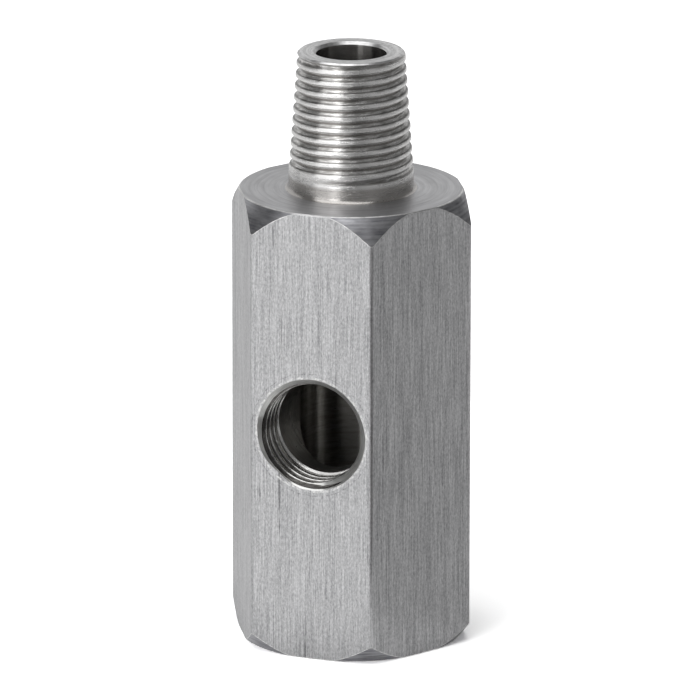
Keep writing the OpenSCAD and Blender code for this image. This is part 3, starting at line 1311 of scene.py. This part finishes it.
@dataclass(frozen=True)
class TeeBody:
    """The whole fitting: hexagon body, male end, both ports and the passage.

    Attributes:
        bar: The hexagon body.
        male: The male end.
        bottom: The port in the bottom face.
        side: The port in the flat that faces -Y.
        passage: The drilled passage.
        crease: Angle in degrees above which an edge stays sharp.
    """

    bar: HexBar = HexBar()
    male: MaleEnd = MaleEnd()
    bottom: Port = BOTTOM_PORT
    side: Port = SIDE_PORT
    passage: Passage = Passage()
    crease: float = 28.0

    def build(self) -> bpy.types.Object:
        """Makes the fitting and puts it in the frame.

        Returns:
            The finished piece.
        """
        body = self.bar.build()
        combine(body, self.male.build(), "UNION")
        self.bottom.cut_from(body, np.eye(3, 4))
        flat = self.bar.across_flats / 2
        side = np.array([[1.0, 0.0, 0.0, 0.0], [0.0, 0.0, 1.0, -flat], [0.0, -1.0, 0.0, SIDE_PORT_Z]])
        self.side.cut_from(body, side)
        self.passage.cut_from(body, self.male.top)
        mesh = body.data
        mesh.shade_smooth()
        mesh.set_sharp_from_angle(angle=math.radians(self.crease))
        part_surfaces(mesh, Surface.DRAWN, (Surface.SIDE_SINK, Surface.SIDE_TAPPED))
        part_surfaces(mesh, Surface.SHOULDER, (Surface.TAPPED, Surface.THREAD))
        points = np.empty(len(mesh.vertices) * 3)
        mesh.vertices.foreach_get("co", points)
        mesh.vertices.foreach_set("co", points * MM)
        mesh.update()
        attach(body, "root")
        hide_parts("tee_body")
        LOG.info("%s: %d triangles", body.name, sum(len(p.vertices) - 2 for p in mesh.polygons))
        return body


@dataclass(frozen=True)
class SoftBox:
    """A flat soft light that faces the fitting.

    Attributes:
        name: Name of the light.
        side: Angle from the camera's side, positive to the camera's right, in degrees.
        height: Angle above the horizon in degrees.
        size: Width and height in metres.
        brightness: How bright its face looks, where white paper is 1.
        far: Distance in metres.
    """

    name: str
    side: float
    height: float
    size: tuple[float, float]
    brightness: float
    far: float = 0.7


SOFT_BOXES = (
    SoftBox("key_left_front", -30.0, 12.0, (0.2, 0.34), 3.0),
    SoftBox("key_left", -54.0, 11.0, (0.38, 0.30), 1.2),
    SoftBox("key_left_front_high", -47.0, 36.0, (0.55, 0.33), 0.65),
    SoftBox("overhead", -45.0, 74.0, (0.75, 0.75), 1.5),
    SoftBox("back_sweep", -170.0, 25.0, (1.3, 0.6), 0.5),
    SoftBox("right_strip", 38.0, 11.0, (0.28, 0.26), 0.25),
)


@dataclass(frozen=True)
class Card:
    """A sheet of card on the floor, outside the picture, for the metal to look at: it glows for
    reflections only, a painted reflection.

    Attributes:
        name: Name of the card.
        colour: Colour of the card in sRGB.
        in_metal: How bright its glow looks in the metal, a painted reflection.
        lift: Height above the floor in metres.
        corners: Corners, right and toward the camera, in metres.
    """

    name: str
    colour: str
    in_metal: float
    lift: float
    corners: tuple[tuple[float, float], ...]


# Edges of the cards that point at the fitting part the light flats from the dark ones
GREY_NEAR = ((0.0, 0.026), (0.0125, 0.026), (0.0125, -0.002), (0.6, -0.07))
GREY_FAR = ((0.6, 0.6), (-0.225, 0.556), (-0.045, 0.111), (0.0, 0.1))
DARK_NEAR = ((-0.0442, 0.1094), (0.0, 0.118), (0.0404, 0.1109), (0.0904, 0.0758))
DARK_FAR = ((0.42, 0.35), (-0.206, 0.51))
BLACK = ((0.0, 0.03), (0.03, 0.03), (0.085, 0.095), (0.0, 0.12))
CARDS = (
    Card("grey_card", "#9A9A9A", 0.48, 0.0004, GREY_NEAR + GREY_FAR),
    Card("dark_card", "#5A5A5A", 0.31, 0.0006, DARK_NEAR + DARK_FAR),
    Card("black_card", "#2A2A2A", 0.05, 0.0008, BLACK),
)


@dataclass(frozen=True)
class Studio:
    """Floor, lights and camera.

    Attributes:
        camera_side: Angle of the camera from the side port's axis, in degrees.
        camera_height: Angle of the camera above the horizon, in degrees.
        camera_far: Distance from the camera to the point it looks at, in millimetres.
        roll: Turn of the camera about its own axis, anticlockwise, in degrees.
        focal_px: Focal length in pixels of the photograph's frame.
        aim: Point that the camera looks at: right of the axis and up, in millimetres.
        middle: Height of the point that the lights face, in metres.
        room: How bright the room looks in the metal.
        paper_side: Half the width of the paper, in metres.
        paper_white: How much light the paper gives back.
        paper_in_photo: How much brighter the camera sees the paper than it is.
        paper_in_metal: Glow that the metal sees in the paper, a painted reflection, away from the key
            light and toward it.
        key_side: Side from which most of the light comes, in degrees from the camera's side.
        painted_shadow_near: Distances from the axis, in metres, between which a painted shadow of the
            fitting dims the glow,
        and how much of the glow is left at the first.
        boxes: The soft lights.
        cards: Cards that lie on the floor outside the picture.
    """

    camera_side: float = 20.805
    camera_height: float = 16.414
    camera_far: float = 785.9
    roll: float = 0.08
    focal_px: float = 9175.2
    aim: tuple[float, float] = (-0.077, 24.93)
    middle: float = 0.025
    room: float = 0.17
    paper_side: float = 3.0
    paper_white: float = 0.8
    paper_in_photo: float = 2.9
    paper_in_metal: tuple[float, float] = (0.22, 0.44)
    key_side: float = -45.0
    painted_shadow_near: tuple[float, float, float] = (0.01, 0.021, 0.4)
    boxes: tuple[SoftBox, ...] = SOFT_BOXES
    cards: tuple[Card, ...] = CARDS

    def direction(self, side: float, height: float) -> Vector:
        """Gives the direction at an angle from the camera's side and above the horizon.

        Args:
            side: Angle in degrees, positive to the camera's right.
            height: Angle in degrees.

        Returns:
            Unit vector away from the fitting.
        """
        a, e = math.radians(self.camera_side + side), math.radians(height)
        return Vector((math.sin(a) * math.cos(e), -math.cos(a) * math.cos(e), math.sin(e)))

    def face(self, thing: bpy.types.Object, away: Vector, roll: float = 0.0) -> None:
        """Turns a camera or lamp to look back along a direction and links it to the scene.

        Args:
            thing: The camera or lamp.
            away: Direction from the fitting to it.
            roll: Turn about its own axis, in degrees.
        """
        turn = Quaternion((0, 0, 1), math.radians(roll))
        thing.rotation_mode = "QUATERNION"
        thing.rotation_quaternion = (-away).to_track_quat("-Z", "Y") @ turn
        bpy.context.scene.collection.objects.link(thing)

    def camera(self) -> None:
        """Places the camera at the photograph's angle."""
        right, back = self.direction(90, 0), self.direction(0, self.camera_height)
        target = right * self.aim[0] + Vector((0, 0, self.aim[1]))
        data = bpy.data.cameras.new("camera")
        data.sensor_width = SENSOR_MM
        data.lens = self.focal_px * SENSOR_MM / PHOTO_SIDE_PX
        data.clip_start, data.clip_end = 0.05, 20.0
        made = bpy.data.objects.new("camera", data)
        made.location = (target + back * self.camera_far) * MM
        self.face(made, back, self.roll)
        bpy.context.scene.camera = made

    def floor(self) -> None:
        """Lays the white paper that the fitting stands on, which keeps its shadow.

        The metal sees it glow, a painted reflection. The glow rises from its low to its high value with
        the cosine of the angle from the key light's side, a painted pool of light, and a painted shadow
        of the fitting dims it close by.
        """
        side = self.paper_side
        points = np.array([[-side, -side, 0], [side, -side, 0], [side, side, 0], [-side, side, 0]])
        made = mesh_object("floor", points, [[0, 1, 2, 3]])
        paper = bare_material("white_paper")
        w = Wiring(paper.node_tree)
        white = self.paper_white
        bright = white * self.paper_in_photo
        plain = w.add(Node.MATT, (white, white, white, 1))
        printed = w.add(Node.MATT, (bright, bright, bright, 1))
        spot = w.add(Node.PLACE)
        # Painted light in the glow: brighter toward the key light's side
        facing = w.add(Node.DOT, w.add(Node.UNIT, spot), tuple(self.direction(self.key_side, 0.0)))
        share = w.add(Node.RAMP, facing, 0.0, 1.0, *self.paper_in_metal)
        # Painted shadow of the fitting in the glow, close to the axis
        near, far, left = self.painted_shadow_near
        dim = w.add(Node.RAMP, w.add(Node.LENGTH, spot), near, far, left, 1.0)
        glow = w.add(Node.GLOW, WHITE, w.add(Node.MULTIPLY, share, dim))
        glowing = w.add(Node.TOGETHER, plain, glow)
        lit = w.add(Node.EITHER, w.add(Node.GLOSSY_RAY), plain, glowing)
        w.add(Node.SURFACE, w.add(Node.EITHER, w.add(Node.CAMERA_RAY), lit, printed))
        made.data.materials.append(paper)

    def lay(self, card: Card) -> None:
        """Lays a card on the floor, which only the metal sees, as a glow of set brightness: a painted
        reflection.

        Args:
            card: The card.
        """
        right, toward = self.direction(90, 0), self.direction(0, 0)
        points = [right * x + toward * y + Vector((0, 0, card.lift)) for x, y in card.corners]
        made = mesh_object(card.name, np.array(points), [list(range(len(points)))])
        grey = bare_material(card.name)
        w = Wiring(grey.node_tree)
        # Painted reflection: the metal sees the card as a glow of set brightness
        plain, seen = w.add(Node.MATT, srgb(card.colour)), w.add(Node.GLOW, WHITE, card.in_metal)
        w.add(Node.SURFACE, w.add(Node.EITHER, w.add(Node.GLOSSY_RAY), plain, seen))
        made.data.materials.append(grey)
        made.visible_camera = False
        made.visible_diffuse = False
        made.visible_shadow = False

    def light(self, box: SoftBox) -> None:
        """Hangs a soft box that faces the fitting.

        A lamp of power P and area A looks as bright as P / (pi A), so the power is the
        wanted brightness times pi A.

        Args:
            box: The soft box.
        """
        away = self.direction(box.side, box.height)
        data = bpy.data.lights.new(box.name, "AREA")
        data.shape, (data.size, data.size_y) = "RECTANGLE", box.size
        data.energy = box.brightness * math.pi * box.size[0] * box.size[1]
        made = bpy.data.objects.new(box.name, data)
        made.location = away * box.far + Vector((0, 0, self.middle))
        self.face(made, away)

    def world(self) -> None:
        """Fills the room with an even dim light, and with white where the camera looks past the floor."""
        made = bpy.data.worlds.new("room")
        made.use_nodes = True
        made.node_tree.nodes.clear()
        w = Wiring(made.node_tree)
        room, white = w.add(Node.ROOM, WHITE, self.room), w.add(Node.ROOM, WHITE, 1.0)
        w.add(Node.WORLD, w.add(Node.EITHER, w.add(Node.CAMERA_RAY), room, white))
        bpy.context.scene.world = made

    def build(self) -> None:
        """Sets the stage, the lights and the camera."""
        bpy.context.scene.view_settings.view_transform = "Standard"
        self.floor()
        for card in self.cards:
            self.lay(card)
        self.world()
        for box in self.boxes:
            self.light(box)
        self.camera()


def main() -> None:
    logging.basicConfig(level=logging.INFO, format="%(name)s %(message)s")
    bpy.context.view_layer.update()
    for finish in FINISHES:
        finish.material()
    TeeBody().build()
    Studio().build()


if __name__ == "__main__":
    main()
